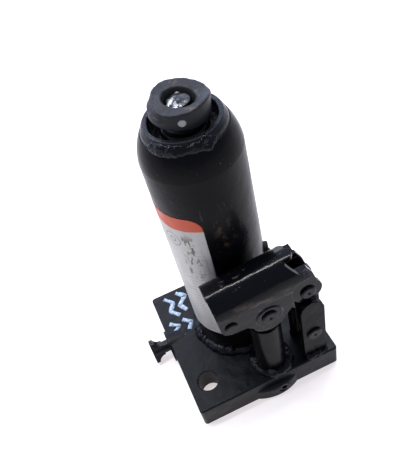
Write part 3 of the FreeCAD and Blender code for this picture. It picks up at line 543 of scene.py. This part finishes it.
def skin(rings, closed):
    """Faces over rings of equal length, each ring closed on itself, with caps if the row of rings is open."""
    count = len(rings[0])
    vertices = [point for ring in rings for point in ring]
    faces = []
    rows = len(rings) if closed else len(rings) - 1
    for row in range(rows):
        after = (row + 1) % len(rings)
        for column in range(count):
            beside = (column + 1) % count
            low_edge = (row * count + column, row * count + beside)
            high_edge = (after * count + beside, after * count + column)
            faces.append(low_edge + high_edge)
    if not closed:
        faces.append(tuple(range(count - 1, -1, -1)))
        faces.append(tuple((len(rings) - 1) * count + column for column in range(count)))
    return vertices, faces


def lumps(point, size, seed):
    """Noise from about -1 to 1 at a place, with lumps of about this size."""
    return noise.noise(point / size + Vector((seed * 7.3, seed * 3.1, seed * 5.7))) * 1.6


def hump(away, width):
    """1 in the middle, falling off smoothly on both sides."""
    return math.exp(-(away / width) ** 2)


def foot_weld(name, node, centre, radius, leg, rise, seed):
    """A lumpy fillet weld with overlapping ripples, all the way round a tube's foot."""
    rings = []
    steps = int(2 * math.pi * radius / (0.55 * MM))
    for step in range(steps):
        turn = 2 * math.pi * step / steps
        out = Vector((math.cos(turn), math.sin(turn), 0))
        place = centre + out * radius
        swell = 1.0 + 0.22 * lumps(place, 7 * MM, seed) + 0.12 * lumps(place, 3 * MM, seed + 4)
        ripple = 0.13 * MM * math.sin(turn * radius / (0.62 * MM) + 2.0 * lumps(place, 9 * MM, seed + 2))
        ring = [centre + out * (radius - WELD_ROOT) + Vector((0, 0, -WELD_SINK))]
        ring.append(centre + out * (radius + leg * swell) + Vector((0, 0, -WELD_SINK)))
        for arc in range(11):
            angle = math.radians(2 + 86 * arc / 10)
            across = leg * swell * math.cos(angle) ** 0.85
            up = rise * swell * math.sin(angle) ** 0.85
            place = centre + out * (radius + across) + Vector((0, 0, up))
            push = ripple * math.sin(angle * 2) + 0.34 * MM * lumps(place, 3.2 * MM, seed + 6)
            place += (out * math.cos(angle) + Vector((0, 0, math.sin(angle)))) * push
            ring.append(place)
        ring.append(centre + out * (radius - WELD_ROOT) + Vector((0, 0, rise * swell)))
        rings.append(ring)
    solid_piece(name, *skin(rings, True), "weld_paint", [node])


def neck_weld():
    """Run of weld over the joint of nut and tank, thick at the left and ending in a blob with a crater."""
    rings = []
    steps = 150
    middle_r = NUT_R - 0.7 * MM
    middle_z = NECK_Z + 1.6 * MM
    for step in range(steps + 1):
        part = step / steps
        degrees = NECK_WELD_START + NECK_WELD_SWEEP * part
        turn = math.radians(degrees)
        out = Vector((math.cos(turn), math.sin(turn), 0))
        ends = min(1.0, part / 0.06, (1 - part) / 0.05)
        ends = math.sqrt(max(ends, 0.0))
        thick = hump(degrees - NECK_WELD_THICK, 17)
        blob = hump(degrees - NECK_WELD_BLOB, 8.5)
        size = (NECK_WELD_HALF + 0.9 * MM * thick + 1.2 * MM * blob) * max(ends, 0.08)
        base_place = out * middle_r + Vector((0, 0, middle_z))
        size *= 1.0 + 0.14 * lumps(base_place, 4 * MM, 3)
        ring = []
        for arc in range(20):
            angle = 2 * math.pi * arc / 20
            along = (out * 0.47 + Vector((0, 0, -0.88))) * math.cos(angle) * 1.45
            across = (out * 0.88 + Vector((0, 0, 0.47))) * (math.sin(angle) * 0.62 - 0.12)
            place = base_place + (along + across) * size
            push = 0.34 * MM * lumps(place, 2.6 * MM, 8) + 0.13 * MM * lumps(place, 1.3 * MM, 9)
            crater = hump(degrees - NECK_WELD_BLOB, 4.5) * hump(math.degrees(angle) - 95, 32)
            push -= 1.7 * MM * crater
            place += (along + across).normalized() * push * max(ends, 0.2)
            ring.append(place)
        rings.append(ring)
    solid_piece("neck_weld_bead", *skin(rings, False), "weld_paint", ["neck_weld"])


def lug_weld(name, side, nodes):
    """Short run of weld along the foot of a lug; side is -1 in front of the pair and 1 behind it."""
    face_y = PUMP_Y + side * (PUMP_Y - LUG_LOW.y)
    low_x = LUG_LOW.x - 0.5 * MM
    high_x = LUG_HIGH.x + 0.8 * MM
    rings = []
    steps = 44
    for step in range(steps + 1):
        part = step / steps
        ends = math.sqrt(max(0.05, min(1.0, part / 0.1, (1 - part) / 0.1)))
        foot = Vector((low_x + (high_x - low_x) * part, face_y, BASE_TOP))
        size = 3.1 * MM * ends * (1 + 0.2 * lumps(foot, 4 * MM, 5))
        ring = [foot + Vector((0, -side * WELD_ROOT, -WELD_SINK))]
        for arc in range(10):
            angle = math.radians(90 * arc / 9)
            place = foot + Vector((0, side * size * math.cos(angle), size * math.sin(angle)))
            outward = Vector((0, side * math.cos(angle), math.sin(angle)))
            place += outward * 0.35 * MM * lumps(place, 2.2 * MM, 6)
            ring.append(place)
        ring.append(foot + Vector((0, -side * WELD_ROOT, size)))
        rings.append(ring)
    solid_piece(name, *skin(rings, False), "weld_paint", nodes)


def label_sheet():
    """The label as a curved sheet with round corners."""
    half = abs(LABEL_EDGE - LABEL_MIDDLE)
    rows = 96
    columns = 90
    outer = []
    inner = []
    for row in range(rows + 1):
        ease = 0.5 - 0.5 * math.cos(math.pi * row / rows)
        height = LABEL_LOW.z + (LABEL_HIGH.z - LABEL_LOW.z) * ease
        from_end = min(height - LABEL_LOW.z, LABEL_HIGH.z - height)
        cut = 0.0
        if from_end < LABEL_CORNER:
            depth = LABEL_CORNER - from_end
            cut = LABEL_CORNER - math.sqrt(max(LABEL_CORNER ** 2 - depth ** 2, 0.0))
        reach = half - cut / TANK_R
        for column in range(columns + 1):
            turn = LABEL_MIDDLE - reach + 2 * reach * column / columns
            lift = 0.05 * MM * max(0.0, noise.noise(Vector((turn * 3, height * 60, 2))))
            radius = TANK_R + 0.12 * MM + lift
            outer.append((radius * math.cos(turn), radius * math.sin(turn), height))
            radius = TANK_R + 0.02 * MM
            inner.append((radius * math.cos(turn), radius * math.sin(turn), height))
    width = columns + 1
    total = len(outer)
    faces = []
    for row in range(rows):
        for column in range(columns):
            first = row * width + column
            quad = (first, first + 1, first + 1 + width, first + width)
            faces.append(quad)
            faces.append(tuple(total + index for index in reversed(quad)))
    rim = list(range(width))
    rim += [row * width + columns for row in range(1, rows + 1)]
    rim += [rows * width + column for column in range(columns - 1, -1, -1)]
    rim += [row * width for row in range(rows - 1, 0, -1)]
    for place, index in enumerate(rim):
        after = rim[(place + 1) % len(rim)]
        faces.append((after, index, total + index, total + after))
    solid_piece("label_sheet", outer + inner, faces, "label_film", ["rating_label"])


def marker_stroke(name, points):
    """One stroke of marker paint lying on the base."""
    path = [Vector((x * MM, y * MM, 0)) for x, y in points]
    line = []
    for first, last in zip(path, path[1:]):
        for step in range(8):
            line.append(first.lerp(last, step / 8))
    line.append(path[-1])
    rings = []
    for index, place in enumerate(line):
        ahead = line[min(index + 1, len(line) - 1)] - line[max(index - 1, 0)]
        side = Vector((-ahead.y, ahead.x, 0)).normalized()
        half = MARKER_WIDTH * 0.5 * MM * (1 + 0.25 * lumps(place, 4 * MM, 11))
        low = BASE_TOP - 0.05 * MM
        top = BASE_TOP + 0.06 * MM
        corners = [(-half, low), (half, low), (half, top), (-half, top)]
        rings.append([Vector((place.x, place.y, height)) + side * across for across, height in corners])
    solid_piece(name, *skin(rings, False), "cast_base", material=CHALK)


def saddle_profile(top, rim, beaten):
    """Radius and height round the saddle's section, where its top and its rim are at these places."""
    cup = SADDLE_TOP_Z - SADDLE_CUP_DEPTH
    lip_r = rim - 1.8 * MM
    lip_z = top - 0.08 * MM
    profile = [
        (SADDLE_WELL_R, SADDLE_BOTTOM_Z + 0.2 * MM), (SADDLE_WELL_R + 0.2 * MM, SADDLE_BOTTOM_Z),
        (SADDLE_R - 0.9 * MM, SADDLE_BOTTOM_Z), (SADDLE_R - 0.3 * MM, SADDLE_BOTTOM_Z + 0.25 * MM),
        (SADDLE_R, SADDLE_BOTTOM_Z + 0.9 * MM), (SADDLE_R, SADDLE_BOTTOM_Z + 5.0 * MM),
        (SADDLE_R - 0.35 * beaten, top - 3.2 * MM), (SADDLE_R - 0.75 * beaten, top - 1.6 * MM),
        (rim, top - 0.9 * MM), (rim - 0.12 * MM, top - 0.45 * MM), (rim - 0.45 * MM, top - 0.1 * MM),
        (rim - 0.9 * MM, top), (lip_r, lip_z),
    ]
    for part in (0.3, 0.55, 0.8, 1.0):
        radius = lip_r * (1 - part) + SADDLE_CUP_R * part
        height = lip_z * (1 - part) + cup * part
        profile.append((radius, height))
    profile += [
        (9.4 * MM, cup - 0.3 * MM), (8.9 * MM, cup - 1.2 * MM), (8.2 * MM, cup - 2.8 * MM),
        (SADDLE_WELL_R + 0.1 * MM, cup - 4.4 * MM), (SADDLE_WELL_R, cup - 5.2 * MM),
    ]
    return profile


def away_from(turn, azimuth):
    """Degrees from an azimuth to a turn given in radians, from -180 to 180."""
    return (math.degrees(turn) - azimuth + 180) % 360 - 180


def saddle_body():
    """The saddle with its worn top: the rim waves up and down, and its left edge is beaten flat."""
    lean = math.radians(-SADDLE_TILT)
    pivot = Vector((0, 0, SADDLE_PIN_Z))
    tilt = Matrix.Rotation(lean, 3, Vector((math.cos(SADDLE_PIN_ANGLE), math.sin(SADDLE_PIN_ANGLE), 0)))
    steps = 180
    rings = []
    for step in range(steps):
        turn = 2 * math.pi * step / steps
        out = Vector((math.cos(turn), math.sin(turn), 0))
        rise = 0.0
        for middle, width, height in SADDLE_WAVES:
            rise += height * MM * hump(away_from(turn, middle), width)
        beaten = BEATEN_DEPTH * hump(away_from(turn, BEATEN_AZIMUTH), BEATEN_WIDTH)
        rough = 0.16 * MM * lumps(out * SADDLE_R, 3 * MM, 12)
        ring = []
        for radius, height in saddle_profile(SADDLE_TOP_Z + rise + rough, SADDLE_R - beaten + rough, beaten):
            place = out * radius + Vector((0, 0, height))
            ring.append(pivot + tilt @ (place - pivot))
        rings.append(ring)
    solid_piece("saddle_body", *skin(rings, True), "saddle_paint", ["saddle"], "saddle_group")


def saddle_pin():
    """The cross pin; its ends stand just proud of the saddle's side."""
    out = Vector((math.cos(SADDLE_PIN_ANGLE), math.sin(SADDLE_PIN_ANGLE), 0))
    side = Vector((-out.y, out.x, 0))
    centre = Vector((0, 0, SADDLE_PIN_Z))
    end = SADDLE_R + SADDLE_PIN_PROUD
    shoulder = end - SADDLE_PIN_CHAMFER
    end_r = SADDLE_PIN_R - 0.35 * MM
    rings = []
    for along, radius in ((-end, end_r), (-shoulder, SADDLE_PIN_R), (shoulder, SADDLE_PIN_R), (end, end_r)):
        ring = []
        for step in range(32):
            turn = 2 * math.pi * step / 32
            around = side * math.cos(turn) + Vector((0, 0, math.sin(turn)))
            ring.append(centre + out * along + around * radius)
        rings.append(ring)
    pin = solid_piece("saddle_cross_pin", *skin(rings, False), "turned_steel", ["saddle_pin"], "saddle_group",
                      SADDLE_PIN_STEEL)
    pin.data.shade_flat()


def make_pieces():
    tank_foot = Vector((0, 0, BASE_TOP))
    pump_foot = Vector((PUMP_X, PUMP_Y, BASE_TOP))
    foot_weld("tank_weld_bead", "tank_foot_weld", tank_foot, TANK_R, 4.4 * MM, 5.0 * MM, 1)
    foot_weld("pump_weld_bead", "pump_foot_weld", pump_foot, PUMP_R, 5.2 * MM, 4.6 * MM, 2)
    neck_weld()
    lug_weld("front_lug_weld_bead", -1, ["lug_welds"])
    lug_weld("rear_lug_weld_bead", 1, ["lug_welds"])
    label_sheet()
    saddle_body()
    saddle_pin()
    for name, points in MARKER_STROKES.items():
        marker_stroke(name, points)


def finish_frame_nodes():
    """Give each node of the frame the material of its slot."""
    for node, obj in NODES.items():
        material = MATERIALS[SLOT_OF[node]]
        if not obj.material_slots:
            obj.data.materials.append(material)
        for place in obj.material_slots:
            place.material = material


# ---------------------------------------------------------------- camera, light and floor

def make_camera():
    """Set the camera by its direction, distance and roll about the target."""
    azimuth = math.radians(CAMERA_AZIMUTH)
    elevation = math.radians(CAMERA_ELEVATION)
    level = math.cos(elevation)
    back = Vector((math.sin(azimuth) * level, -math.cos(azimuth) * level, math.sin(elevation)))
    data = bpy.data.cameras.new("camera")
    data.lens = LENS_MM
    data.sensor_width = SENSOR_MM
    data.shift_x, data.shift_y = CAMERA_SHIFT
    data.clip_start = 0.01
    camera = bpy.data.objects.new("camera", data)
    bpy.context.scene.collection.objects.link(camera)
    turn = (-back).to_track_quat("-Z", "Y").to_matrix().to_4x4()
    roll = Matrix.Rotation(math.radians(CAMERA_ROLL), 4, "Z")
    camera.matrix_world = Matrix.Translation(CAMERA_TARGET + back * CAMERA_DISTANCE) @ turn @ roll
    bpy.context.scene.camera = camera


def area_light(name, place, size, power, colour):
    """A rectangular lamp facing LIGHTS_AIM."""
    data = bpy.data.lights.new(name, "AREA")
    data.shape = "RECTANGLE"
    data.size, data.size_y = size
    data.energy = power
    data.color = colour
    light = bpy.data.objects.new(name, data)
    bpy.context.scene.collection.objects.link(light)
    light.location = place
    light.rotation_mode = "QUATERNION"
    light.rotation_quaternion = (Vector(place) - LIGHTS_AIM).to_track_quat("Z", "Y")


def make_stage():
    """The floor, the sky, the lamps and the view's contrast."""
    mesh = bpy.data.meshes.new("floor")
    corners = [(-FLOOR_HALF, -FLOOR_HALF, 0), (FLOOR_HALF, -FLOOR_HALF, 0),
               (FLOOR_HALF, FLOOR_HALF, 0), (-FLOOR_HALF, FLOOR_HALF, 0)]
    mesh.from_pydata(corners, [], [(0, 1, 2, 3)])
    floor = bpy.data.objects.new("floor", mesh)
    bpy.context.scene.collection.objects.link(floor)
    s = Shader("floor_paper")
    s.set(Base_Color=FLOOR_GREY, Roughness=0.9, Specular_IOR_Level=0.0)
    s.set(Emission_Color=FLOOR_GLOW_COLOUR, Emission_Strength=FLOOR_GLOW)
    mesh.materials.append(s.material)
    make_sky()
    area_light("ceiling_tube", *TUBE, TUBE_COLOUR)
    for name, lamp in LAMPS.items():
        area_light(name, *lamp, LAMP_COLOUR)
    bpy.context.scene.view_settings.view_transform = "Standard"
    bpy.context.scene.view_settings.gamma = VIEW_GAMMA


def make_sky():
    """Soft bluish surroundings: bright behind the object, dim in front of it."""
    world = bpy.data.worlds.new("studio")
    bpy.context.scene.world = world
    world.use_nodes = True
    tree = world.node_tree
    coords = tree.nodes.new("ShaderNodeTexCoord")
    split = tree.nodes.new("ShaderNodeSeparateXYZ")
    tree.links.new(coords.outputs["Generated"], split.inputs[0])
    behind = tree.nodes.new("ShaderNodeMapRange")
    behind.inputs["From Min"].default_value, behind.inputs["From Max"].default_value = SKY_TURN
    behind.inputs["To Min"].default_value = SKY_FRONT
    behind.inputs["To Max"].default_value = SKY_BEHIND
    behind.interpolation_type = "SMOOTHSTEP"
    tree.links.new(split.outputs["Y"], behind.inputs["Value"])
    background = tree.nodes["Background"]
    background.inputs["Color"].default_value = (*SKY_COLOUR, 1.0)
    tree.links.new(behind.outputs[0], background.inputs["Strength"])


finish_frame_nodes()
make_pieces()
make_camera()
make_stage()
